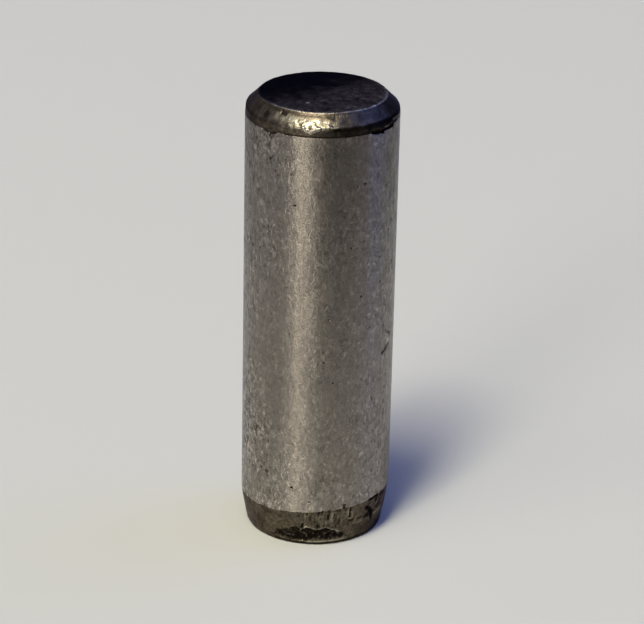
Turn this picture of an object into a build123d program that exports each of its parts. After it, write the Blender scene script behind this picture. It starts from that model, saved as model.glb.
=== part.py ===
from build123d import *
import os
from math import radians, tan

# Hardened and ground pin that locates a flange on the end of a crankshaft: one solid of revolution.
# It stands on its lead end: +Z runs up the axis, and the origin is the middle of the foot.
# Lengths are in millimetres and angles in degrees.

# Ground shank
pin_diameter = 8.0
pin_length = 24.32           # from the foot to the flat end face

# Lead end, the cone that finds the hole
lead_length = 2.17           # from the foot to the lower edge of the ground shank
lead_angle = 9.8             # between the cone's side and the axis
foot_edge_radius = 0.12      # between the cone and the foot

# Crowned end, below its chamfer: a narrow band that was formed with the blank and never ground
band_height = 0.44
band_angle = 13.0            # between the band's side and the axis

# Crowned end, from the band up to the flat end face
chamfer_height = 0.58
chamfer_angle = 45.0         # between the chamfer and the axis
crown_edge_radius = 0.2      # between the band and the chamfer
face_edge_radius = 0.1       # between the chamfer and the flat end face

# Places that follow from the sizes above
shank_radius = pin_diameter / 2
foot_radius = shank_radius - lead_length * tan(radians(lead_angle))
chamfer_foot = pin_length - chamfer_height
shank_top = chamfer_foot - band_height
crown_edge_x = shank_radius - band_height * tan(radians(band_angle))
face_radius = crown_edge_x - chamfer_height * tan(radians(chamfer_angle))


def corner_at(section, point):
    """The section's corner nearest to a point given as distance from the axis and height."""
    place = Vector(point[0], point[1])
    return section.vertices().sort_by(lambda corner: (Vector(corner) - place).length)[0]


def half_section():
    """Half of the pin's section, from its axis out, in the XZ plane."""
    foot_edge = (foot_radius, 0)
    shank_foot = (shank_radius, lead_length)
    shank_end = (shank_radius, shank_top)
    crown_edge = (crown_edge_x, chamfer_foot)
    face_edge = (face_radius, pin_length)

    with BuildSketch(Plane.XZ) as section:
        with BuildLine():
            outline = ((0, 0), foot_edge, shank_foot, shank_end, crown_edge, face_edge, (0, pin_length))
            Polyline(*outline, close=True)
        make_face()
        fillet(corner_at(section, foot_edge), foot_edge_radius)
        fillet(corner_at(section, crown_edge), crown_edge_radius)
        fillet(corner_at(section, face_edge), face_edge_radius)
    return section.sketch


def crankshaft_pin():
    """The section turned once about the pin's axis."""
    return revolve(half_section(), Axis.Z)


os.makedirs("parts", exist_ok=True)
export_step(crankshaft_pin(), "parts/crankshaft_pin.step")
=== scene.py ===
import math
import bpy
import numpy as np
from mathutils import Matrix, Vector


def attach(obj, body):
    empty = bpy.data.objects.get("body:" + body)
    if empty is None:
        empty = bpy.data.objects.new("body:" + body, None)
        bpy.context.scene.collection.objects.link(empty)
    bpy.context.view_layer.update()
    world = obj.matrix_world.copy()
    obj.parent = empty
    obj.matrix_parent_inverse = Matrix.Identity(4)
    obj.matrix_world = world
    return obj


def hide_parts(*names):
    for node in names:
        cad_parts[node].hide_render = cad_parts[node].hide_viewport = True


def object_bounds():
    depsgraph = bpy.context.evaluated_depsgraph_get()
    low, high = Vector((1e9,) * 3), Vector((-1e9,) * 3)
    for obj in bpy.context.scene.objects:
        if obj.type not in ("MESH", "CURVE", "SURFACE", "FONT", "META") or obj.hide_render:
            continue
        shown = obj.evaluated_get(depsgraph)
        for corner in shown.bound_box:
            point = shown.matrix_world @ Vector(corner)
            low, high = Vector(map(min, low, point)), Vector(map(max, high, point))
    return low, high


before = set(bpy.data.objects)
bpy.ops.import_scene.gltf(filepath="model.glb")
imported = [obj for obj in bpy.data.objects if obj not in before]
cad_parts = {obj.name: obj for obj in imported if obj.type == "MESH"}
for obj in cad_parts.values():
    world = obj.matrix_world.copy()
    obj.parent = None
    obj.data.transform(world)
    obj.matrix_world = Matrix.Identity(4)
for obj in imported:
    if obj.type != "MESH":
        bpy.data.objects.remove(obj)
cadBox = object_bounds()
mm = 0.001               # the mesh is worked out in millimetres and stored in metres
print("frame loaded")


# Small helpers

def smoothStep(low, high, value):
    # 0 below low, 1 above high, and between them 3 t squared minus 2 t cubed
    t = np.clip((value - low) / (high - low), 0, 1)
    return t * t * (3 - 2 * t)


def bell(value, middle, width, power=2):
    # 1 at the middle and 1 / e a width away: e to the minus (distance / width) to the power
    return np.exp(-((value - middle) / width) ** power)


def skyDirection(azimuth, elevation):
    # unit vector from the pin towards a place in the sky; azimuth runs from +X towards +Y
    a = math.radians(azimuth)
    e = math.radians(elevation)
    return Vector((math.cos(a) * math.cos(e), math.sin(a) * math.cos(e), math.sin(e)))


class Wire:
    # A node's output: an expression on wires and numbers adds the Math nodes that work it out.
    def __init__(self, tree, socket=None):
        self.tree = tree
        self.socket = socket

    def node(self, kind, settings, inputs, output=0):
        # any node: its type, its settings, then the value or wire of each input socket;
        # an output node has no output of its own to wrap
        made = self.tree.nodes.new(kind)
        for name, value in settings.items():
            setattr(made, name, value)
        for name, value in inputs.items():
            if isinstance(value, Wire):
                self.tree.links.new(value.socket, made.inputs[name])
            else:
                made.inputs[name].default_value = value
        return Wire(self.tree, made.outputs[output] if made.outputs else None)

    def math(self, operation, *values):
        return self.node("ShaderNodeMath", {"operation": operation}, dict(enumerate(values)))

    def __add__(self, other):
        return self.math("ADD", self, other)

    def __radd__(self, other):
        return self.math("ADD", other, self)

    def __sub__(self, other):
        return self.math("SUBTRACT", self, other)

    def __rsub__(self, other):
        return self.math("SUBTRACT", other, self)

    def __mul__(self, other):
        return self.math("MULTIPLY", self, other)

    def __rmul__(self, other):
        return self.math("MULTIPLY", other, self)

    def atLeast(self, other):
        return self.math("MAXIMUM", self, other)

    def atMost(self, other):
        return self.math("MINIMUM", self, other)

    def ramp(self, low, high, to=(0.0, 1.0)):
        # a smooth step from to[0] at low to to[1] at high
        ends = {"Value": self, "From Min": low, "From Max": high, "To Min": to[0], "To Max": to[1]}
        return self.node("ShaderNodeMapRange", {"interpolation_type": "SMOOTHSTEP"}, ends)

    def noise(self, scale, detail=2.0, rough=0.5, twist=0.0):
        # noise at the place that this wire holds
        inputs = {"Vector": self, "Scale": scale, "Detail": detail, "Roughness": rough, "Distortion": twist}
        return self.node("ShaderNodeTexNoise", {}, inputs)

    def vector(self, operation, inputs, output=0):
        return self.node("ShaderNodeVectorMath", {"operation": operation}, {0: self, **inputs}, output)

    def along(self, direction):
        # how far the place that this wire holds lies along a direction
        return self.vector("DOT_PRODUCT", {1: direction}, "Value")

    def apart(self, point):
        # the distance from the place that this wire holds to a point
        return self.vector("DISTANCE", {1: point}, "Value")

    def attribute(self, name, output="Fac"):
        return self.node("ShaderNodeAttribute", {"attribute_name": name}, {}, output)

    def blend(self, colourA, colourB, mode="MIX"):
        # this wire's share of colour B over colour A
        inputs = {0: self, 6: colourA, 7: colourB}
        return self.node("ShaderNodeMix", {"data_type": "RGBA", "blend_type": mode}, inputs, 2)

    def tinted(self, tint):
        # the colour whose red, green and blue are this wire times those of the tint
        inputs = {name: self * value for name, value in zip(("Red", "Green", "Blue"), tint)}
        return self.node("ShaderNodeCombineColor", {}, inputs)

    def bump(self, distance):
        # the normal of a surface on which this wire is the height, in units of the distance
        return self.node("ShaderNodeBump", {}, {"Strength": 1.0, "Distance": distance, "Height": self})

    def mixShader(self, first, second):
        return self.node("ShaderNodeMixShader", {}, {0: self, 1: first, 2: second})

    def output(self, kind):
        # this wire is the surface of the tree's output node
        self.node(kind, {}, {"Surface": self})


def emptyTree(owner):
    # a wire on the cleared node tree of a material or a world
    owner.use_nodes = True
    owner.node_tree.nodes.clear()
    return Wire(owner.node_tree)


def ringQuads(rings, columns):
    # the corners of each cell between closed rings of points that are numbered ring by ring
    column = np.arange(columns)
    following = (column + 1) % columns
    start = np.arange(rings - 1)[:, None] * columns
    upper = start + columns
    return np.stack([start + column, start + following, upper + following, upper + column], -1)


def addObject(name, data):
    # an object at the origin for a mesh, a lamp or a camera
    holder = bpy.data.objects.new(name, data)
    bpy.context.scene.collection.objects.link(holder)
    return holder


def colour(red, green, blue):
    return (red, green, blue, 1.0)


# Pin: its form and the marks of its making, in millimetres and degrees

pin = {
    "leadLength": 2.15,       # foot to the lower edge of the ground shank
    "leadAngle": 9.8,         # side of the lead cone to the axis
    "footEdge": 0.12,         # radius between the cone and the foot
    "bandHeight": 0.47,       # unground band under the chamfer
    "bandAngle": 9.0,
    "chamferHeight": 0.62,
    "chamferAngle": 45.0,
    "crownEdge": 0.2,         # radius between the band and the chamfer
    "faceEdge": 0.1,          # radius between the chamfer and the flat face
    "stockLeft": 0.06,        # how far the blank stood proud of the ground size
    "leadRunOut": -0.043,     # how far the formed lead lies off the ground axis, towards +X
    "crownRunOut": 0.006,
    "runOutFade": 1.0,        # height over which a run-out fades away on the shank
    "leadStiff": 0.6,         # how far above the lead's line its run-out stays whole
    "crownStiff": 1.4,        # and how far down from the face the crown's does
    "leadBow": 0.025,         # outward bow of the cone's side
    "leadReach": 0.45,        # the lead's ragged edge stays within this of its line
    "bandReach": 0.5,
    "plainFace": (2.9, 3.4),  # radii between which the skin fades towards the middle of an end
    "columns": 560,
    "fineRow": 0.036,         # row spacing on the lead and the crown
    "coarseRow": 0.56,        # row spacing on the shank
    "edgeRows": 5,            # rows round the edge of the foot and of the face
    "crownRows": 7,           # rows round the edge between the band and the chamfer
    "chamferRows": 19,
    "rimRows": 4,             # rows of the face from its edge to the rim's end
    "rimEnd": 2.6,
    "middleRows": 5,          # rows from the middle's start to the axis
    "middleStart": 2.8,
    "footRows": 4,
}

pinRadius = min(-cadBox[0].x, cadBox[1].x, -cadBox[0].y, cadBox[1].y) / mm
pinLength = cadBox[1].z / mm


def cornerArc(before, corner, after, radius, steps):
    # round a corner of the profile: an arc whose centre is on the bisector and touches both sides
    toBefore = (before - corner) / np.linalg.norm(before - corner)
    toAfter = (after - corner) / np.linalg.norm(after - corner)
    halfAngle = math.acos(np.dot(toBefore, toAfter)) / 2
    bisector = (toBefore + toAfter) / np.linalg.norm(toBefore + toAfter)
    centre = corner + bisector * radius / math.sin(halfAngle)
    start = corner + toBefore * radius / math.tan(halfAngle) - centre
    end = corner + toAfter * radius / math.tan(halfAngle) - centre
    first = math.atan2(start[1], start[0])
    turn = (math.atan2(end[1], end[0]) - first + math.pi) % (2 * math.pi) - math.pi
    angle = first + turn * np.linspace(0, 1, steps)
    return centre + radius * np.stack([np.cos(angle), np.sin(angle)], 1)


def between(start, end, steps):
    # evenly spaced points of a straight run, without its two ends
    share = np.linspace(0, 1, steps + 2)[1:-1, None]
    return start + (end - start) * share


def heightRun(low, high, spacing):
    # evenly spaced heights from low to high, about the spacing apart
    return np.linspace(low, high, int((high - low) / spacing))


def blankProfile():
    # the blank's half section before grinding, as (radius, height) rows from the foot to the face:
    # the lead widens at its angle, with a sine bow, the band narrows at its own, and the side is the
    # least of both and of the ground radius plus the stock left on it
    tanLead = math.tan(math.radians(pin["leadAngle"]))
    tanBand = math.tan(math.radians(pin["bandAngle"]))
    chamferFoot = pinLength - pin["chamferHeight"]
    bandFoot = chamferFoot - pin["bandHeight"]
    crownRadius = pinRadius - pin["bandHeight"] * tanBand
    faceRadius = crownRadius - pin["chamferHeight"] * math.tan(math.radians(pin["chamferAngle"]))
    footCentre = np.array([0.0, 0.0])
    footCorner = np.array([pinRadius - pin["leadLength"] * tanLead, 0.0])
    leadCorner = np.array([pinRadius, pin["leadLength"]])
    bandCorner = np.array([pinRadius, bandFoot])
    crownCorner = np.array([crownRadius, chamferFoot])
    faceCorner = np.array([faceRadius, pinLength])
    faceCentre = np.array([0.0, pinLength])
    footArc = cornerArc(footCentre, footCorner, leadCorner, pin["footEdge"], pin["edgeRows"])
    crownArc = cornerArc(bandCorner, crownCorner, faceCorner, pin["crownEdge"], pin["crownRows"])
    faceArc = cornerArc(crownCorner, faceCorner, faceCentre, pin["faceEdge"], pin["edgeRows"])

    leadTop = pin["leadLength"] + pin["leadReach"]
    bandLow = bandFoot - pin["bandReach"]
    heights = np.concatenate([
        heightRun(footArc[-1, 1], leadTop, pin["fineRow"])[1:],
        heightRun(leadTop, bandLow, pin["coarseRow"])[1:-1],
        heightRun(bandLow, crownArc[0, 1], pin["fineRow"])[:-1],
    ])
    lead = pinRadius + (heights - pin["leadLength"]) * tanLead
    lead = lead + pin["leadBow"] * np.sin(np.pi * np.clip(heights / pin["leadLength"], 0, 1))
    band = pinRadius + (bandFoot - heights) * tanBand
    side = np.minimum(np.minimum(lead, band), pinRadius + pin["stockLeft"])
    return np.concatenate([
        between(footCentre, footArc[0], pin["footRows"]),
        footArc,
        np.stack([side, heights], 1),
        crownArc,
        between(crownArc[-1], faceArc[0], pin["chamferRows"]),
        faceArc,
        between(faceArc[-1], np.array([pin["rimEnd"], pinLength]), pin["rimRows"]),
        between(np.array([pin["middleStart"], pinLength]), faceCentre, pin["middleRows"]),
    ])


def latticeNoise(turn, height, cellsRound, cellHeight, seed):
    # value noise that closes round the pin: random numbers at the corners of cells of the unrolled
    # surface, blended inside each cell by 3 t squared minus 2 t cubed
    source = np.random.default_rng(seed)
    cellsUp = int(pinLength * 1.3 / cellHeight) + 3      # some more than the pin needs
    table = source.uniform(-1, 1, (cellsUp, cellsRound))
    across = turn * cellsRound
    up = height / cellHeight
    column = np.floor(across).astype(int)
    row = np.floor(up).astype(int)
    s = smoothStep(0, 1, across - column)
    t = smoothStep(0, 1, up - row)
    left = column % cellsRound
    right = (column + 1) % cellsRound
    low = table[row, left] * (1 - s) + table[row, right] * s
    high = table[row + 1, left] * (1 - s) + table[row + 1, right] * s
    return low * (1 - t) + high * t


def noiseFields(turn, height, fields):
    # one noise for each row of cells round the pin, height of a cell and seed
    return [latticeNoise(turn, height, *field) for field in fields]


def stroke(angle, height, start, end, width):
    # a straight mark on the unrolled surface, from place to place in (degrees, mm): 1 within a quarter
    # of its width from the line between them, falling smoothly to 0 at three quarters
    toMm = pinRadius * math.pi / 180
    x = (angle - start[0] + 180) % 360 - 180
    alongX = (end[0] - start[0]) * toMm
    alongY = end[1] - start[1]
    length = alongX * alongX + alongY * alongY
    share = np.clip((x * toMm * alongX + (height - start[1]) * alongY) / max(length, 1e-9), 0, 1)
    away = np.hypot(x * toMm - share * alongX, height - start[1] - share * alongY)
    return 1 - smoothStep(0.25 * width, 0.75 * width, away)


# Marks on the lead: start and end as (degrees from the front, height), width, depth, tone; a mark with
# a depth below zero stands out, and a tone above 1 is paler than the scale
leadMarks = [
    ((24, 2.26), (24, 2.50), 0.12, 0.060, 0.30),
    # raised rims round the slot, made paler than the scale: rubbed edges with a painted highlight on them
    ((28.2, 1.75), (28.0, 2.20), 0.07, -0.015, 2.20),
    ((28.4, 1.58), (31.6, 1.50), 0.08, -0.015, 2.40),
    ((32.0, 1.55), (31.8, 1.95), 0.07, -0.010, 1.80),
    ((30, 1.66), (30, 2.16), 0.12, 0.100, 0.08),
    ((-5, 1.95), (-5, 2.04), 0.12, 0.050, 0.15),
    ((4, 2.02), (4.3, 2.12), 0.11, 0.050, 0.15),
    ((7, 2.05), (7, 2.16), 0.10, 0.050, 0.20),
    ((12, 1.72), (12, 1.95), 0.12, 0.060, 0.12),
    ((12, 2.10), (12, 2.20), 0.10, 0.050, 0.25),
    ((26, 2.08), (26, 2.18), 0.10, 0.040, 0.35),
    ((5, 1.86), (6, 1.84), 0.12, -0.010, 1.70),
    ((46, 1.86), (52, 1.56), 0.25, 0.060, 0.01),
    ((46.5, 1.36), (49.5, 1.28), 0.25, 0.050, 0.01),
    ((51, 1.52), (55.5, 1.26), 0.28, 0.050, 0.01),
    ((53.5, 1.20), (55, 0.98), 0.26, 0.060, 0.01),
    ((59, 1.62), (61, 1.70), 0.20, 0.040, 0.05),
    ((48, 2.30), (58, 2.32), 0.15, 0.070, 0.04),
    ((57, 2.02), (58, 2.30), 0.18, 0.070, 0.04),
    ((63, 2.28), (69, 2.12), 0.27, 0.040, 0.02),
    ((60, 1.58), (67, 1.50), 0.20, 0.030, 0.20),
    ((62, 1.82), (66, 1.88), 0.14, 0.030, 0.12),
    ((57, 1.74), (60, 1.86), 0.10, -0.010, 1.60),
    ((68, 1.70), (72, 1.90), 0.12, -0.010, 1.30),
    ((47, 1.95), (50, 2.05), 0.10, 0.020, 0.30),
    ((-9.5, 1.10), (-8.5, 1.32), 0.16, 0.060, 0.06),
    ((-2, 1.70), (-1.6, 1.90), 0.08, 0.030, 0.30),
    ((16, 1.72), (16.6, 1.98), 0.10, 0.040, 0.20),
    ((20, 1.30), (20.5, 1.62), 0.09, 0.030, 0.30),
    ((10.5, 1.36), (11.3, 1.56), 0.08, -0.010, 1.60),
    ((15.0, 1.52), (14.2, 1.82), 0.07, -0.010, 1.70),
    ((3.4, 1.25), (4.4, 1.16), 0.14, 0.050, 0.15),
    ((6, 1.00), (6.4, 0.88), 0.13, 0.050, 0.12),
    ((10, 1.05), (9.6, 0.95), 0.13, 0.045, 0.15),
    ((-15, 1.02), (-14, 0.86), 0.20, 0.030, 0.25),
    ((29, 1.38), (33, 1.36), 0.16, 0.030, 0.35),
    ((38, 1.36), (42, 1.38), 0.14, 0.030, 0.35),
    ((45, 1.30), (51, 1.45), 0.22, 0.035, 0.22),
    ((34, 1.14), (42, 1.12), 0.12, -0.010, 1.50),
    ((58, 1.20), (68, 1.26), 0.14, -0.010, 1.70),
    ((25, 1.00), (27, 1.10), 0.10, -0.010, 1.50),
]
# The crushed patch on the lead's front: the places of its upper and its lower edge
crushedTop = [(-35, 0.44), (-31, 0.66), (-27, 0.92), (-22, 0.86), (-17, 1.02), (-13, 1.06), (-10, 0.98),
              (-5, 1.16), (0, 1.06), (8, 1.08), (15, 1.00), (20, 0.84), (25, 0.76), (30, 0.48)]
crushedFoot = [(-35, 0.40), (-25, 0.30), (-18, 0.22), (-9, 0.22), (0, 0.34), (10, 0.36), (20, 0.38),
               (30, 0.46)]
# The raised rubbed line above the foot, made paler, partly a painted highlight, and the dark line under it,
# a painted shadow where the foot meets the paper
footShine = [(-14, 0.24), (-6, 0.22), (2, 0.21), (12, 0.23), (26, 0.29)]
footPaintedShadow = [(-34, 0.16), (-20, 0.11), (0, 0.09), (20, 0.12), (45, 0.17), (72, 0.22)]
# The burr across the lead's front
burrLine = [(-10, 1.0), (-8, 1.12), (-5, 1.20), (-2, 1.15), (0, 1.08), (5, 1.06), (8, 1.12), (11, 1.14),
            (15, 1.02), (18, 1.0), (19.5, 0.87), (21, 0.84)]
# Darker and paler patches of the lead: angles from and to, heights from and to, tone
leadPatches = [
    (-64, -30, 0.15, 1.00, 0.96),
    (36, 100, 1.45, 2.60, 0.86),
    (46, 100, 1.20, 2.60, 0.85),
    (57, 110, 1.30, 2.45, 0.70),
    (25, 100, 0.10, 1.20, 0.84),
    (36, 100, -0.10, 0.95, 0.78),
    (44, 56, 0.30, 0.85, 0.75),
    (48, 100, -0.10, 0.95, 0.76),
    (62, 100, -0.10, 0.60, 0.20),
]

# Marks and patches of the crowned end, with their heights measured down from the end face
crownMarks = [
    ((-18, 0.40), (-14, 0.38), 0.16, -0.010, 1.90),
    ((-27, 0.58), (-24, 0.68), 0.10, -0.012, 1.50),
    ((-22, 0.50), (-20, 0.56), 0.10, -0.010, 1.60),
    ((-21, 0.66), (-16, 0.72), 0.10, -0.008, 1.45),
    ((-14.5, 0.50), (-12, 0.41), 0.11, -0.012, 2.60),
    ((-12, 0.41), (-6, 0.45), 0.12, -0.012, 3.00),
    ((-6, 0.45), (-2, 0.62), 0.10, -0.010, 2.20),
    ((-2, 0.46), (4, 0.54), 0.15, -0.010, 1.50),
    ((4.5, 0.50), (5.5, 0.58), 0.09, -0.015, 2.20),
    ((7, 0.62), (12, 0.62), 0.08, -0.012, 2.40),
    ((6, 0.36), (12, 0.44), 0.18, -0.006, 1.50),
    ((-9.5, 0.60), (-9, 0.70), 0.15, 0.010, 0.55),
    ((-17.5, 0.50), (-17, 0.52), 0.08, 0.010, 0.60),
    ((-5, 0.53), (-3.5, 0.56), 0.10, 0.010, 0.60),
    ((7.5, 0.54), (8, 0.56), 0.08, 0.010, 0.45),
    # the raised ring of the dimple, made far paler than bare steel: rubbed metal with a painted highlight
    # on it
    ((-15, 0.52), (-14, 0.66), 0.12, -0.025, 3.40),
    ((-14, 0.66), (-11, 0.78), 0.13, -0.035, 5.00),
    ((-11, 0.78), (-8.5, 0.84), 0.14, -0.040, 6.50),
    ((-8.5, 0.84), (-6, 0.77), 0.14, -0.040, 6.50),
    ((-6, 0.77), (-2, 0.64), 0.13, -0.035, 4.60),
    ((9, 0.73), (13, 0.72), 0.10, 0.008, 0.25),
    ((-36, 0.18), (-32, 0.23), 0.16, 0.020, 0.45),
    ((-51, 0.40), (-49, 0.44), 0.26, 0.010, 0.55),
    ((-28, 1.08), (40, 1.08), 0.07, 0.008, 0.35),
    ((40, 1.06), (45, 1.14), 0.18, 0.060, 0.10),
    ((45, 1.10), (50, 1.16), 0.20, 0.060, 0.10),
    ((51, 1.12), (51, 1.23), 0.14, 0.060, 0.10),
    ((53, 1.07), (63, 1.07), 0.20, 0.060, 0.10),
    ((-46, 1.08), (-42, 1.22), 0.24, 0.030, 0.85),
    ((-42, 1.22), (-41, 1.34), 0.14, 0.030, 0.75),
    ((-41, 1.24), (-37, 1.10), 0.20, 0.030, 0.85),
    ((54, 1.01), (58, 1.02), 0.06, -0.004, 1.80),
    ((64, 0.78), (72, 0.80), 0.10, -0.010, 2.60),
    ((72, 0.82), (84, 0.90), 0.08, -0.008, 2.20),
]
crownPatches = [
    (12, 100, 0.62, 1.30, 0.50),
    (34, 100, 0.62, 1.30, 0.60),
    (4, 34, 0.82, 1.30, 1.50),
    (56, 100, 0.72, 1.12, 0.45),
    (-120, -62, 0.62, 1.00, 0.60),
    (62, 130, 0.05, 0.66, 0.62),
    (-24, 8, 0.10, 0.26, 0.60),
    (-50, 4, 0.18, 1.04, 1.35),
    (-44, -14, 0.20, 0.52, 1.50),
    (-34, -20, 0.14, 0.46, 1.25),
    (-27, 12, 0.36, 0.74, 1.75),
    (-4, 8, 0.08, 0.32, 0.75),
    (9, 26, 0.08, 0.46, 1.35),
    (-110, -46, 0.08, 0.62, 1.35),
]


def chain(angle, height, corners, width):
    # a bent line: at each place the strongest of the strokes from corner to corner
    whole = np.zeros_like(angle)
    for start, end in zip(corners[:-1], corners[1:]):
        whole = np.maximum(whole, stroke(angle, height, start, end, width))
    return whole


def patchTone(angle, height, patches):
    # 1 outside the patches and the product of their tones inside, with soft edges
    tone = np.ones_like(angle)
    for left, right, low, high, value in patches:
        sideways = smoothStep(left - 3, left + 3, angle) * smoothStep(right + 3, right - 3, angle)
        upright = smoothStep(low - 0.06, low + 0.06, height) * smoothStep(high + 0.06, high - 0.06, height)
        tone = tone * (1 + (value - 1) * sideways * upright)
    return tone


def betweenEdges(angle, height, top, foot):
    # 1 where the height lies between the lines through the top and the foot places, with soft edges
    topAngle, topHeight = np.array(top).T
    footAngle, footHeight = np.array(foot).T
    under = np.interp(angle, topAngle, topHeight) - height
    over = height - np.interp(angle, footAngle, footHeight)
    inside = smoothStep(-0.03, 0.04, under) * smoothStep(-0.03, 0.04, over)
    return inside * (angle > topAngle[0]) * (angle < topAngle[-1])


def cutMarks(angle, height, marks, relief, tone):
    # inside each mark the relief drops by its depth and the tone turns into its own
    for start, end, width, depth, value in marks:
        inside = stroke(angle, height, start, end, width)
        relief = relief - depth * inside
        tone = tone + (value - tone) * inside
    return relief, tone


# The noise in the lead's skin: cells round the pin, height of a cell, seed
leadFields = [
    (90, 0.28, 11),        # soft lumps
    (260, 0.085, 12),      # grains
    (200, 0.11, 14),       # roughness of edges
    (220, 0.60, 13),       # upright draw lines
    (330, 0.25, 17),       # finer draw lines
    (130, 0.45, 15),       # sway of the patches' sides
    (170, 0.50, 16),       # sway of the patches' ends
    (300, 0.50, 18),       # flames along the crushed patch
]
leadLook = {
    # relief in millimetres
    "lumps": 0.004,
    "lowLumps": 0.006,         # added under the ragged edge
    "grains": 0.002,
    "lowGrains": 0.005,
    "drawLines": 0.010,
    "crushed": 0.03,           # depth of the crushed patch
    "crushedRough": 0.04,
    "burr": 0.05,
    "rubbedAndHighlit": 0.015,
    # tone
    "plainTone": 1.12,
    "drawTone": 0.62,
    "lumpTone": 0.22,
    "grainTone": 0.34,
    "crushedTone": 0.91,       # how much darker the crushed patch is
    "crushedGlint": 1.1,       # and how much its high spots win back
    "burrTone": 2.6,
    "paintedShadowTone": 0.85,         # how much darker the line above the foot is
    "footHighlightTone": 2.2,
    # widths of lines in millimetres
    "burrWidth": 0.10,
    "footHighlightWidth": 0.08,
    "paintedShadowWidth": 0.12,
    # how ragged the outlines are, in degrees sideways and millimetres upwards
    "patchSway": 4,
    "patchRise": 0.12,
    "patchRough": 0.04,
    "flameRise": 0.13,
    "flameRough": 0.05,
    "markSway": 0.5,
    "markRough": 0.02,
}


def leadSkin(angle, turn, height):
    # relief and tone of the forming skin on the lead: each noise times its share, with the draw lines
    # strongest in front; the crushed patch goes in, the burr and the rubbed line stand out, and the marks
    # are cut last; the rubbed line is made paler, partly a painted highlight, and the line under it darker,
    # a painted shadow
    look = leadLook
    lumps, grains, rough, draws, fineDraws, sway, rise, flames = noiseFields(turn, height, leadFields)
    here = 1 - smoothStep(pin["leadLength"] + 0.3, pin["leadLength"] + 0.5, height)
    low = 1 - smoothStep(1.7, 2.0, height)
    front = bell(angle, 8, 20, 4)
    drawLines = (draws + 0.8 * fineDraws) * smoothStep(0.95, 1.15, height)
    flameHeight = height + look["flameRise"] * flames + look["flameRough"] * rough
    crushed = betweenEdges(angle, flameHeight, crushedTop, crushedFoot)
    burr = chain(angle, height, burrLine, look["burrWidth"])
    markHeight = height + look["markRough"] * rough
    # painted highlight: the raised line above the foot is made paler, brightest at the front
    rubbedAndHighlit = chain(angle, markHeight, footShine, look["footHighlightWidth"]) * bell(angle, 3, 18)
    # painted shadow: the dark line where the foot meets the paper
    shade = chain(angle, height, footPaintedShadow, look["paintedShadowWidth"])

    relief = (look["lumps"] + look["lowLumps"] * low) * lumps
    relief = relief + (look["grains"] + look["lowGrains"] * low) * grains
    relief = relief + look["drawLines"] * drawLines * (0.2 + 0.8 * front) * low
    relief = relief - crushed * (look["crushed"] - look["crushedRough"] * rough)
    relief = relief + look["burr"] * burr + look["rubbedAndHighlit"] * rubbedAndHighlit

    patchHeight = height + look["patchRise"] * rise + look["patchRough"] * rough
    tone = patchTone(angle + look["patchSway"] * sway, patchHeight, leadPatches)
    tone = tone * look["plainTone"] * (
        1 + look["drawTone"] * drawLines * front + look["lumpTone"] * lumps + look["grainTone"] * grains)
    tone = tone * (1 - crushed * (look["crushedTone"] - look["crushedGlint"] * np.maximum(rough, 0) ** 2))
    tone = tone + (look["burrTone"] - tone) * burr * (0.75 + 0.25 * grains)
    # the painted shadow darkens the tone and the painted highlight adds to it
    tone = tone * (1 - look["paintedShadowTone"] * shade) + look["footHighlightTone"] * rubbedAndHighlit * (0.8 + 0.4 * lumps)
    relief, tone = cutMarks(angle + look["markSway"] * grains, markHeight, leadMarks, relief, tone)
    return relief * here, 1 + (tone - 1) * here


# The noise in the crown's skin: cells round the pin, height of a cell, seed
crownFields = [
    (80, 0.30, 21),        # soft lumps
    (240, 0.09, 22),       # grains
    (150, 0.30, 23),       # teeth along the edges
    (120, 0.20, 24),       # sway of the patches' sides
    (90, 0.40, 25),        # sway of the patches' ends
]
crownLook = {
    # relief in millimetres; depths are measured down from the end face
    "lumps": 0.006,
    "lumpsEnd": 1.0,           # depth at which the lumps end
    "grains": 0.003,
    "bead": 0.030,             # the low bead where the band meets the chamfer
    "beadTeeth": 0.006,
    "beadDrop": 0.13,          # how far its middle lies below the chamfer
    "beadWidth": 0.20,
    "groove": 0.014,           # the groove under the edge of the face
    "grooveDepth": 0.125,
    "grooveWidth": 0.045,
    # tone
    "teethTone": 0.15,
    "lumpTone": 0.12,
    "grainTone": 0.12,
    # how ragged the outlines are, in degrees sideways and millimetres upwards
    "patchSway": 3,
    "patchRise": 0.04,
    "markSway": 0.6,
    "markRough": 0.02,
}


def crownSkin(angle, turn, height):
    # relief and tone of the forming skin on the band, the chamfer and the edge of the face: each noise
    # times its share, plus a bead and less a groove whose sections are bell curves, then the marks
    look = crownLook
    down = pinLength - height
    bandFoot = pin["chamferHeight"] + pin["bandHeight"]
    here = 1 - smoothStep(bandFoot + 0.5, bandFoot + 0.7, down)
    lumps, grains, teeth, sway, rise = noiseFields(turn, height, crownFields)
    bead = bell(down, pin["chamferHeight"] + look["beadDrop"], look["beadWidth"])
    groove = bell(down, look["grooveDepth"], look["grooveWidth"]) * (0.35 + 0.65 * bell(angle, -15, 26, 4))

    relief = look["lumps"] * lumps * (down < look["lumpsEnd"]) + look["grains"] * grains
    relief = relief + bead * (look["bead"] + look["beadTeeth"] * teeth) - look["groove"] * groove
    tone = patchTone(angle + look["patchSway"] * sway, down + look["patchRise"] * rise, crownPatches)
    tone = tone * (
        1 + look["teethTone"] * teeth + look["lumpTone"] * lumps + look["grainTone"] * grains)
    markAngle = angle + look["markSway"] * grains
    relief, tone = cutMarks(markAngle, down + look["markRough"] * teeth, crownMarks, relief, tone)
    return relief * here, 1 + (tone - 1) * here


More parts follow.
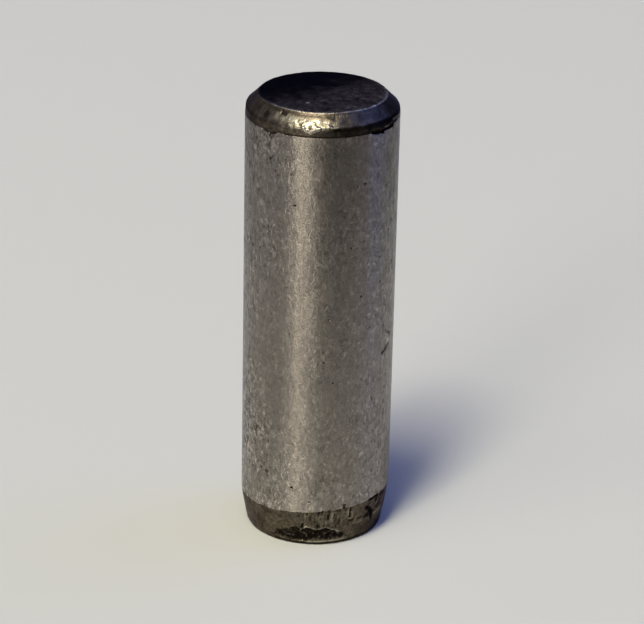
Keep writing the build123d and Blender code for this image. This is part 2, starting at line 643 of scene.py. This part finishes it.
# the rubbed edge of the face: partly worn metal and partly a painted highlight, brightest towards the lamp
rim = {
    "paler": 1.1,              # how much paler the rubbed edge of the face is
    "outside": 0.03,           # its middle lies this far outside the flat face
    "width": 0.05,
    "depth": 0.1,              # and it ends this far down
    # painted highlight: these shines brighten the edge on the lamp's side and on the right, and dim it
    # right of the front
    "shines": [(-0.45, 6, 14), (0.5, -16, 14)],      # added share, middle and width in degrees
    "rightShine": 0.2,
    "field": (100, 0.6, 31),   # noise: cells round the pin, height of a cell, seed
    "uneven": 0.7,
}


def rimWearAndHighlight(angle, turn, radius, height):
    # how much paler the rubbed edge of the face is, partly worn metal and partly a painted highlight: a
    # bell curve across the edge, times a painted shine round it that is a sum of bell curves with a broad
    # step on the right, and uneven by a noise
    faceRadius = radius[height > pinLength - 0.001].max()
    edge = bell(radius, faceRadius + rim["outside"], rim["width"]) * (height > pinLength - rim["depth"])
    shine = 1
    for share, middle, width in rim["shines"]:
        shine = shine + share * bell(angle, middle, width)
    shine = shine + rim["rightShine"] * smoothStep(34, 50, angle) * smoothStep(95, 70, angle)
    shine = shine * (1 + rim["uneven"] * latticeNoise(turn, height, *rim["field"]))
    return rim["paler"] * shine * edge


def runOut(height):
    # how far the blank lies off the ground axis: the lead's and the crown's share, each of which fades
    # away along the shank
    leadTop = pin["leadLength"] + pin["leadStiff"]
    bandLow = pinLength - pin["crownStiff"]
    leadShare = 1 - smoothStep(leadTop, leadTop + pin["runOutFade"], height)
    crownShare = smoothStep(bandLow - pin["runOutFade"], bandLow, height)
    return pin["leadRunOut"] * leadShare + pin["crownRunOut"] * crownShare


def crankshaftPinMesh():
    # every row of the blank turned about the axis: radius times sine and cosine of the turn; relief
    # is added along the profile's normal, and then the side is cut back to the ground radius
    rows = blankProfile()
    slope = np.gradient(rows, axis=0)
    slope = slope / np.linalg.norm(slope, axis=1)[:, None]
    count = pin["columns"]
    turn, radius = np.meshgrid(np.arange(count) / count, rows[:, 0])
    turn, height = np.meshgrid(np.arange(count) / count, rows[:, 1])
    angle = (turn * 360 + 180) % 360 - 180

    leadRelief, leadTone = leadSkin(angle, turn, height)
    crownRelief, crownTone = crownSkin(angle, turn, height)
    onSide = smoothStep(*pin["plainFace"], radius)
    relief = (leadRelief + crownRelief) * onSide
    tone = 1 + (leadTone * crownTone - 1) * onSide + rimWearAndHighlight(angle, turn, radius, height)
    radius = radius + slope[:, 1:] * relief
    height = height - slope[:, :1] * relief

    heading = np.radians(angle)
    x = radius * np.sin(heading) + runOut(height)
    y = -radius * np.cos(heading)
    reach = np.hypot(x, y)
    clearance = reach - pinRadius                     # above zero where the wheel cut metal away
    cut = np.minimum(1, pinRadius / np.maximum(reach, 1e-6))
    points = np.stack([x * cut, y * cut, np.clip(height, 0, pinLength)], -1).reshape(-1, 3)
    points = np.concatenate([points, [[0, 0, 0], [0, 0, pinLength]]]) * mm
    footPole = len(points) - 2
    facePole = len(points) - 1

    quads = ringQuads(len(rows), count)
    column = np.arange(count)
    following = (column + 1) % count
    last = (len(rows) - 1) * count
    footFan = np.stack([following, column, np.full(count, footPole)], -1)
    faceFan = np.stack([last + column, last + following, np.full(count, facePole)], -1)
    faces = quads.reshape(-1, 4).tolist() + footFan.tolist() + faceFan.tolist()
    mesh = bpy.data.meshes.new("crankshaftPin")
    mesh.from_pydata(points.tolist(), [], faces)
    mesh.polygons.foreach_set("use_smooth", np.ones(len(faces), dtype=bool))
    for name, values, atPole in (("grind", clearance, -1), ("tone", tone, 1)):
        whole = np.concatenate([values.ravel(), [atPole, atPole]])
        mesh.attributes.new(name, "FLOAT", "POINT").data.foreach_set("value", whole)
    mesh.update()
    print("pin:", len(points), "points,", 2 * quads.shape[0] * count + 2 * count, "triangles")
    return mesh


steel = {
    "fineScale": 5.2,          # grains per millimetre
    "coarseScale": 1.9,
    "blotchScale": 0.42,
    "stretch": (1.0, 1.0, 0.7),            # the grains are a little longer upwards
    "groundTint": (0.295, 0.265, 0.229),
    "groundRoughness": 0.33,
    "roughnessSpread": 0.1,
    "groundAnisotropy": 0.94,
    "groundTurn": 0.25,        # a quarter turn, which spreads the highlight along the pin
    "groundMottle": 0.95,      # how far the tint varies from grain to grain
    "fineShare": 1.4,          # and the share of each kind of grain in that
    "fleckShare": 0.28,
    "coarseShare": 0.55,
    "paleFlecks": 1.4,
    "darkFlecks": 0.7,
    "blotchShade": 0.2,
    "groundGrain": 0.021,      # height of the peened grain, millimetres
    "streakScale": (5.5, 5.5, 1.4),        # upright streaks near the sides
    "streakSides": (8.5, 13.0),            # squares of the distances sideways where they start and end
    "streakShade": 2.1,
    "dentShade": 1.8,          # how far the soft dents change the tint
    "pitShade": 0.9,           # how far the pits darken it
    # painted shade: the tint is 13 % darker along the upright stripe where the lamp's highlight runs
    "stripe": (-1.07, 0.35, 0.02, -0.13),  # middle sideways, squares of half widths, how much paler
    "paintedShadingZones": [
        # soft zones of painted shade and light on the shank: sideways from and to, height from and to, how
        # much paler; darker at the top of the left side, darker low on the right where the steel mirrors
        # the pin's shadow, and paler low on the left
        ((-2.9, -3.8), (13.0, 22.0), -0.20),
        ((3.2, 3.95), (8.0, 4.0), -0.48),
        ((0.5, -1.5), (9.0, 4.0), 0.08),
    ],
    "scaleTint": (0.100, 0.083, 0.060),
    "bareTint": (0.125, 0.117, 0.089),     # where the scale has rubbed off
    "scaleSheen": (0.56, 0.53, 0.59),
    "scaleRoughness": 0.36,
    "scaleSpread": 0.2,
    "scaleGrain": 0.016,
    "faceGradient": (0.6, -0.8, 0.0),      # the end face is darker away from this side
    "faceCloud": 3.0,          # how cloudy it is, and its darkest and palest tones
    "faceTones": (0.10, 1.9),
    "faceSpeck": (-0.77, -1.80),           # a bright fleck on the end face, with its outer and inner radius
    "speckEdge": (0.14, 0.05),
    "speckShade": 13.0,
}
peening = {
    "plain": 0.7,              # how heavy the peening is everywhere, and what each part adds
    "blotches": 0.5,
    "left": 1.2,
    "right": 0.4,
    "low": 0.4,
    "calmLeft": 0.6,           # what is taken off halfway up the left
    "stripe": (-0.95, 0.6, 0.1, -0.3),     # calmer where the lamp shows, given as in steel
}
# Small dark pits of the shank: degrees from the front, height, radius in millimetres
shankPits = [
    (-19, 19.5, 0.07), (-41, 17.8, 0.08), (-42, 17.65, 0.07), (-50, 16.7, 0.06), (34, 20.6, 0.08),
    (28, 20.5, 0.06), (33, 14.4, 0.07), (52, 14.9, 0.07), (51, 16.3, 0.06), (61, 17.6, 0.06),
    (-18, 3.5, 0.07), (-56, 4.0, 0.09), (-62, 3.7, 0.07), (5, 10.9, 0.06), (12, 9.7, 0.06),
    (-4, 2.75, 0.06), (24, 17.2, 0.05), (8, 13.3, 0.05), (140, 9.0, 0.07), (175, 15.5, 0.08),
    (-150, 6.5, 0.07), (-110, 18.0, 0.06), (105, 19.5, 0.07), (-170, 20.0, 0.06),
    (57, 10.70, 0.09), (58.5, 10.72, 0.11), (60, 10.76, 0.11), (61.5, 10.80, 0.11), (63, 10.84, 0.11),
    (64.5, 10.90, 0.12), (67, 10.98, 0.10), (70, 10.40, 0.07), (70, 11.52, 0.16), (68, 11.62, 0.10),
    (62, 11.90, 0.08), (64, 11.74, 0.08), (66, 11.66, 0.08), (62.5, 7.30, 0.09), (62, 7.10, 0.08),
]
# Soft shallow dents of the shank: degrees from the front, height, radius, how much paler
shankDents = [
    (-56, 21.5, 0.24, 0.45), (-58, 22.0, 0.17, 0.35), (-49, 19.2, 0.26, 0.45), (-54, 20.0, 0.17, 0.40),
    (-49, 18.2, 0.18, 0.35), (-65, 20.3, 0.18, 0.30), (-69, 9.5, 0.34, 0.30), (-60, 7.1, 0.20, 0.30),
    (-44, 7.4, 0.18, 0.35), (-62, 4.5, 0.20, 0.30), (-64, 11.7, 0.18, 0.25), (67, 11.2, 0.20, 0.80),
    (-64, 16.9, 0.18, -0.40), (-60, 16.6, 0.18, -0.30), (-77, 16.4, 0.28, -0.35), (-51, 20.5, 0.16, -0.35),
    (-66, 20.9, 0.26, -0.25), (-65, 10.1, 0.18, -0.30), (-65, 9.2, 0.20, -0.25), (-71, 8.5, 0.18, -0.35),
    (-63, 8.2, 0.16, -0.35), (-64, 7.6, 0.20, -0.45), (-71, 5.0, 0.24, -0.35), (-66, 5.8, 0.16, -0.30),
    (-46, 4.2, 0.14, -0.40), (-40, 4.1, 0.18, -0.45), (69, 19.6, 0.24, -0.30), (70, 18.9, 0.22, -0.35),
    (69, 15.6, 0.24, -0.35), (63, 9.3, 0.18, -0.25), (63, 8.6, 0.18, -0.25), (62, 7.8, 0.20, -0.30),
]


def shankPoint(angle, height):
    # a point of the ground surface, from its angle and height
    turn = math.radians(angle)
    return (pinRadius * math.sin(turn), -pinRadius * math.cos(turn), height)


def shankWear(place):
    # the pits, each a disc with a soft edge, and the sum of the dents, each a smooth step of its own
    pits = 10.0                # far from all of them
    for angle, above, reach in shankPits:
        pits = (place.apart(shankPoint(angle, above)) * (1 / reach)).atMost(pits)
    dents = 0.0
    for angle, above, reach, paler in shankDents:
        dents = dents + place.apart(shankPoint(angle, above)).ramp(reach, reach * 0.3, (0.0, paler))
    return pits.ramp(1.15, 0.6), dents


def stripeFactor(side, middle, outer, inner, paler):
    # 1 beyond an upright stripe of the shank and 1 plus the share inside it: a smooth step of the
    # squared distance sideways from its middle
    off = side - middle
    return 1 + (off * off).ramp(outer, inner) * paler


def peeningWeight(side, height, blotches):
    # how heavy the peening is: the plain share plus those of the blotches, the left, the right and the
    # low end, with less of the left between its two calm heights, times the stripe's factor
    calm = height.ramp(6.5, 9.0) * height.ramp(17.0, 15.0)
    left = side.ramp(-1.7, -2.9) * (1 - calm * peening["calmLeft"]) * (0.5 + blotches * 0.9)
    heavy = peening["plain"] + blotches * peening["blotches"] + left * peening["left"]
    heavy = heavy + side.ramp(1.8, 3.2) * peening["right"] + height.ramp(9.0, 6.0) * peening["low"]
    return heavy * stripeFactor(side, *peening["stripe"])


def groundSteel(place, fine, coarse):
    # bright ground steel: the tint is scaled by 1 plus the grain times the peening's weight, plus the
    # streaks, blotches and dents and less the pits, and then by a stripe of painted shade along the lamp's
    # highlight and by zones of painted shade and light
    side = place.along((1.0, 0.0, 0.0))
    height = place.along((0.0, 0.0, 1.0))
    patches = place.noise(steel["blotchScale"])
    heavy = peeningWeight(side, height, patches.ramp(0.42, 0.62))
    flecks = fine.ramp(0.06, 0.20) * steel["paleFlecks"] - fine.ramp(-0.08, -0.24) * steel["darkFlecks"]
    streaks = place.vector("MULTIPLY", {1: steel["streakScale"]}).noise(1.0, 2.0, 0.6) - 0.5
    streaks = streaks * (side * side).ramp(*steel["streakSides"])
    pits, dents = shankWear(place)

    mottle = fine * steel["fineShare"] + flecks * steel["fleckShare"] + coarse * steel["coarseShare"]
    mottle = mottle * heavy + streaks * steel["streakShade"]
    shade = 1 + mottle * steel["groundMottle"] + (patches - 0.5) * steel["blotchShade"]
    shade = shade + dents * steel["dentShade"] - pits * steel["pitShade"]
    # painted shade: the stripe dims the tint where the lamp's highlight runs
    shade = shade.atLeast(0.05) * stripeFactor(side, *steel["stripe"])
    # painted shade and light: each zone scales the tint by its own share
    for sideways, upwards, paler in steel["paintedShadingZones"]:
        shade = shade * (1 + side.ramp(*sideways) * height.ramp(*upwards) * paler)
    grain = (fine + coarse * 1.2) * (0.5 + heavy * 0.5) - pits
    return place.node("ShaderNodeBsdfPrincipled", {}, {
        "Base Color": shade.tinted(steel["groundTint"]),
        "Metallic": 1.0,
        "Roughness": steel["groundRoughness"] + steel["roughnessSpread"] * coarse,
        "Anisotropic": steel["groundAnisotropy"],
        "Anisotropic Rotation": steel["groundTurn"],
        "Normal": grain.bump(steel["groundGrain"] * mm),
    })


def formingScale(place, tone, fine, coarse):
    # dark forming scale: its tint runs to that of bare steel as the mesh's tone rises, and is scaled by
    # the tone and the grain, and on the end face by a cloudy gradient with one speck as well
    onFace = place.along((0.0, 0.0, 1.0)).ramp(pinLength - 0.03, pinLength - 0.01)
    across = place.along(steel["faceGradient"])
    cloud = place.noise(1.1, 3.0, 0.6) - 0.5
    faceTone = (across + steel["faceCloud"] * cloud).ramp(-1.4, 1.6, steel["faceTones"])
    speck = place.apart((*steel["faceSpeck"], pinLength)).ramp(*steel["speckEdge"])
    faceTone = faceTone * (1 + fine * 2.6 + coarse * 1.6) + speck * steel["speckShade"]
    shade = tone.atLeast(0.03) * (1 + onFace * (faceTone - 1)) * (1 + fine * 1.1 + coarse * 0.9)
    bare = tone.ramp(1.15, 2.1)
    tint = [bare * (rubbedAndHighlit - dark) + dark for dark, rubbedAndHighlit in zip(steel["scaleTint"], steel["bareTint"])]
    return place.node("ShaderNodeBsdfPrincipled", {}, {
        "Base Color": shade.atLeast(0.02).tinted(tint),
        "Metallic": 1.0,
        "Specular Tint": colour(*steel["scaleSheen"]),
        "Roughness": steel["scaleRoughness"] + steel["scaleSpread"] * fine,
        "Normal": (fine * 0.7 + coarse).bump(steel["scaleGrain"] * mm),
    })


def pinSteel():
    # scale where the grinding clearance is below zero and ground steel where it is above, with an
    # uneven line between them; noises are taken at places in millimetres and centred on zero
    material = bpy.data.materials.new("pinSteel")
    wire = emptyTree(material)
    place = wire.node("ShaderNodeTexCoord", {}, {}, "Object").vector("SCALE", {"Scale": 1 / mm})
    upright = place.vector("MULTIPLY", {1: steel["stretch"]})
    fine = upright.noise(steel["fineScale"], 3.0, 0.72, 0.7) - 0.5
    coarse = upright.noise(steel["coarseScale"], 2.0, 0.55) - 0.5
    scale = formingScale(place, wire.attribute("tone"), fine, coarse)
    ground = groundSteel(place, fine, coarse)
    mask = (wire.attribute("grind") + 0.002 * fine).ramp(-0.001, 0.002)
    mask.mixShader(scale, ground).output("ShaderNodeOutputMaterial")
    return material


def crankshaftPin():
    # the one piece, in place of the CAD's
    piece = addObject("crankshaftPin", crankshaftPinMesh())
    piece.data.materials.append(pinSteel())
    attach(piece, "root")
    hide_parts("crankshaft_pin")


# Floor: a sheet of pale paper, flat round the pin and rising far off into a shallow bowl

paper = {
    "tint": (0.562, 0.576, 0.528),
    "middleRadius": 0.05,      # metres
    "sheetRadius": 0.085,      # the steel reflects the paper this far out, and the dim room beyond
    "flatRadius": 0.6,
    "rimRadius": 1.05,
    "riseRadius": 1.2,         # where the bowl would be at its full height
    "riseHeight": 0.2,
    "sheetRings": 3,
    "bowlRings": 24,
    "columns": 96,
}


def palePaper():
    # plain dull paper of one tint
    material = bpy.data.materials.new("palePaper")
    wire = emptyTree(material)
    surface = wire.node("ShaderNodeBsdfDiffuse", {}, {"Color": colour(*paper["tint"])})
    surface.output("ShaderNodeOutputMaterial")
    return material


def ringMesh(name, rings, heights, closed):
    # circles about the Z axis, one for each radius and height, joined ring to ring, with the top upwards
    count = paper["columns"]
    turn = np.arange(count) / count * 2 * np.pi
    x = rings[:, None] * np.cos(turn)
    y = rings[:, None] * np.sin(turn)
    z = heights[:, None] + 0 * x
    points = np.stack([x, y, z], -1).reshape(-1, 3)
    faces = ringQuads(len(rings), count)[:, :, [0, 3, 2, 1]].reshape(-1, 4).tolist()
    if closed:
        faces.append(list(range(count)))
    mesh = bpy.data.meshes.new(name)
    mesh.from_pydata(points.tolist(), [], faces)
    mesh.polygons.foreach_set("use_smooth", np.ones(len(faces), dtype=bool))
    return mesh


def paperFloor():
    # the near sheet, and the far bowl that only closes the background and rises by a smooth step
    near = np.linspace(paper["middleRadius"], paper["sheetRadius"], paper["sheetRings"])
    far = np.linspace(paper["sheetRadius"], paper["rimRadius"], paper["bowlRings"])
    rise = paper["riseHeight"] * smoothStep(paper["flatRadius"], paper["riseRadius"], far)
    sheet = addObject("paperSheet", ringMesh("paperSheet", near, 0 * near, True))
    bowl = addObject("paperBowl", ringMesh("paperBowl", far, rise, False))
    bowl.visible_glossy = False
    material = palePaper()
    for piece in (sheet, bowl):
        piece.data.materials.append(material)


# painted reflection: the card puts dark shade and, on the right, a blue glow into the steel; only its
# reflections see it
card = {
    # bearing in degrees from the front towards +X, metres out, how solid the card is, and its colour
    "columns": [
        (-17, 0.040, 0.00, (0.028, 0.026, 0.028)),
        (-4, 0.036, 1.00, (0.028, 0.026, 0.028)),
        (36, 0.036, 1.00, (0.036, 0.033, 0.035)),
        (52, 0.040, 0.95, (0.065, 0.060, 0.062)),
        (74, 0.048, 0.88, (0.045, 0.043, 0.048)),
        (79, 0.055, 0.88, (0.120, 0.180, 0.520)),
        (88, 0.057, 0.90, (0.050, 0.100, 0.360)),
        (96, 0.058, 0.95, (0.012, 0.036, 0.130)),
        (108, 0.060, 0.92, (0.014, 0.034, 0.100)),
        (118, 0.065, 0.85, (0.034, 0.030, 0.030)),
        (135, 0.065, 0.80, (0.030, 0.030, 0.036)),
        (160, 0.065, 0.00, (0.030, 0.030, 0.036)),
    ],
    "height": 0.07,
    "steps": 60,
}


def cardShade():
    # the card glows with its own tint and is clear where its alpha is low
    material = bpy.data.materials.new("paintedReflectionCard")
    wire = emptyTree(material)
    clear = wire.node("ShaderNodeBsdfTransparent", {}, {})
    glow = wire.node("ShaderNodeEmission", {}, {"Color": wire.attribute("tint", "Color")})
    wire.attribute("tint", "Alpha").mixShader(clear, glow).output("ShaderNodeOutputMaterial")
    return material


def paintedReflectionCard():
    # a curved card before the pin that only the steel's reflections see, a painted reflection of dark shade
    # before the pin and of a blue glow on the right: at each bearing its distance, solidity and colour run
    # evenly between those of the listed columns
    given = np.array([(*place, *tint) for *place, tint in card["columns"]]).T
    bearing = np.linspace(given[0, 0], given[0, -1], card["steps"])
    distance, solid, red, green, blue = [np.interp(bearing, given[0], values) for values in given[1:]]
    x = distance * np.sin(np.radians(bearing))
    y = -distance * np.cos(np.radians(bearing))
    low = np.stack([x, y, 0 * x], -1)
    high = np.stack([x, y, card["height"] + 0 * x], -1)
    count = card["steps"]
    step = np.arange(count - 1)
    faces = np.stack([step, step + 1, step + count + 1, step + count], -1).tolist()
    mesh = bpy.data.meshes.new("paintedReflectionCard")
    mesh.from_pydata(np.concatenate([low, high]).tolist(), [], faces)
    tint = np.tile(np.stack([red, green, blue, solid], -1), (2, 1))
    mesh.attributes.new("tint", "FLOAT_COLOR", "POINT").data.foreach_set("color", tint.ravel())
    mesh.materials.append(cardShade())
    piece = addObject("paintedReflectionCard", mesh)
    piece.visible_camera = False
    piece.visible_diffuse = False
    piece.visible_shadow = False


# Light: one warm panel high on the left, a faint one below it, and a dim bluish room

lamps = [
    # name, azimuth and elevation in degrees, metres away, width, height, watts, colour, seen by the steel
    ("keyPanel", 243.0, 67, 2.0, 0.36, 0.92, 31.5, (1.0, 0.94, 0.80), True),
    ("lowPanel", 240.0, 17, 0.9, 0.24, 0.50, 2.6, (1.0, 0.94, 0.80), True),
    ("softPanel", 224.0, 40, 1.2, 1.00, 0.70, 3.6, (1.0, 0.92, 0.80), False),
]
room = {
    "base": (0.115, 0.118, 0.170),
    "glows": [
        # azimuth, elevation and half width in degrees, colour added
        (20, 38, 30, (0.20, 0.30, 1.25)),
        (50, 40, 75, (0.05, 0.09, 0.30)),
        (205, 55, 34, (0.18, 0.16, 0.12)),
        (150, 25, 30, (0.10, 0.08, 0.04)),
        (168, -22, 42, (0.040, 0.020, 0.0)),
    ],
    "dark": (92, 18, 34, 0.75),            # given the same way, with the share of light taken away
    "background": (0.6, 0.6, 0.59),        # what the camera sees past the paper
}


def panelLamp(name, azimuth, elevation, distance, width, height, watts, tint, inSteel):
    # a rectangle at its distance along the direction, turned to face the pin
    lamp = bpy.data.lights.new(name, "AREA")
    lamp.shape = "RECTANGLE"
    lamp.size = width
    lamp.size_y = height
    lamp.energy = watts
    lamp.color = tint
    holder = addObject(name, lamp)
    away = skyDirection(azimuth, elevation)
    holder.location = away * distance
    holder.rotation_euler = away.to_track_quat("Z", "Y").to_euler()
    holder.visible_camera = False
    holder.visible_glossy = inSteel


def skyPatch(heading, azimuth, elevation, width):
    # 1 in the middle of a round patch of the sky and 0 beyond it: a smooth step of the cosine
    near = heading.along(skyDirection(azimuth, elevation))
    return near.ramp(math.cos(math.radians(width)), 1.0)


def dimRoom():
    # the base colour plus each glow times its patch, less the dark patch's share; the camera sees a
    # plain background instead
    world = bpy.data.worlds.new("dimRoom")
    wire = emptyTree(world)
    heading = wire.node("ShaderNodeTexCoord", {}, {}, "Generated")
    light = colour(*room["base"])
    for azimuth, elevation, width, tint in room["glows"]:
        light = skyPatch(heading, azimuth, elevation, width).blend(light, colour(*tint), "ADD")
    azimuth, elevation, width, share = room["dark"]
    light = (skyPatch(heading, azimuth, elevation, width) * share).blend(light, colour(0, 0, 0))
    seen = wire.node("ShaderNodeLightPath", {}, {}, "Is Camera Ray")
    light = seen.blend(light, colour(*room["background"]))
    wire.node("ShaderNodeBackground", {}, {"Color": light, "Strength": 1.0}).output("ShaderNodeOutputWorld")
    bpy.context.scene.world = world


# The photo's camera: metres, degrees, and a lens and a sensor in millimetres

camera = {
    "place": (0.0, -0.1297, 0.0682),
    "yaw": 0.082,
    "pitch": 23.417,           # how far it looks down
    "roll": 1.244,
    "lens": 149.0,
    "sensor": 36.0,
    "nearest": 0.005,
    "farthest": 5.0,
}


def photoCamera():
    # the turns are the roll first, then the pitch from looking straight down, then the yaw
    data = bpy.data.cameras.new("photoCamera")
    data.lens = camera["lens"]
    data.sensor_width = camera["sensor"]
    data.sensor_fit = "HORIZONTAL"
    data.clip_start = camera["nearest"]
    data.clip_end = camera["farthest"]
    aim = (Matrix.Rotation(math.radians(-camera["yaw"]), 4, "Z")
           @ Matrix.Rotation(math.radians(90 - camera["pitch"]), 4, "X")
           @ Matrix.Rotation(math.radians(camera["roll"]), 4, "Z"))
    holder = addObject("photoCamera", data)
    holder.matrix_world = Matrix.Translation(camera["place"]) @ aim
    bpy.context.scene.camera = holder


crankshaftPin()
print("pin built")
paperFloor()
paintedReflectionCard()
print("paper and card built")
for row in lamps:
    panelLamp(*row)
dimRoom()
print("lamps and room set")
photoCamera()
bpy.context.scene.view_settings.view_transform = "Standard"
print("camera set")
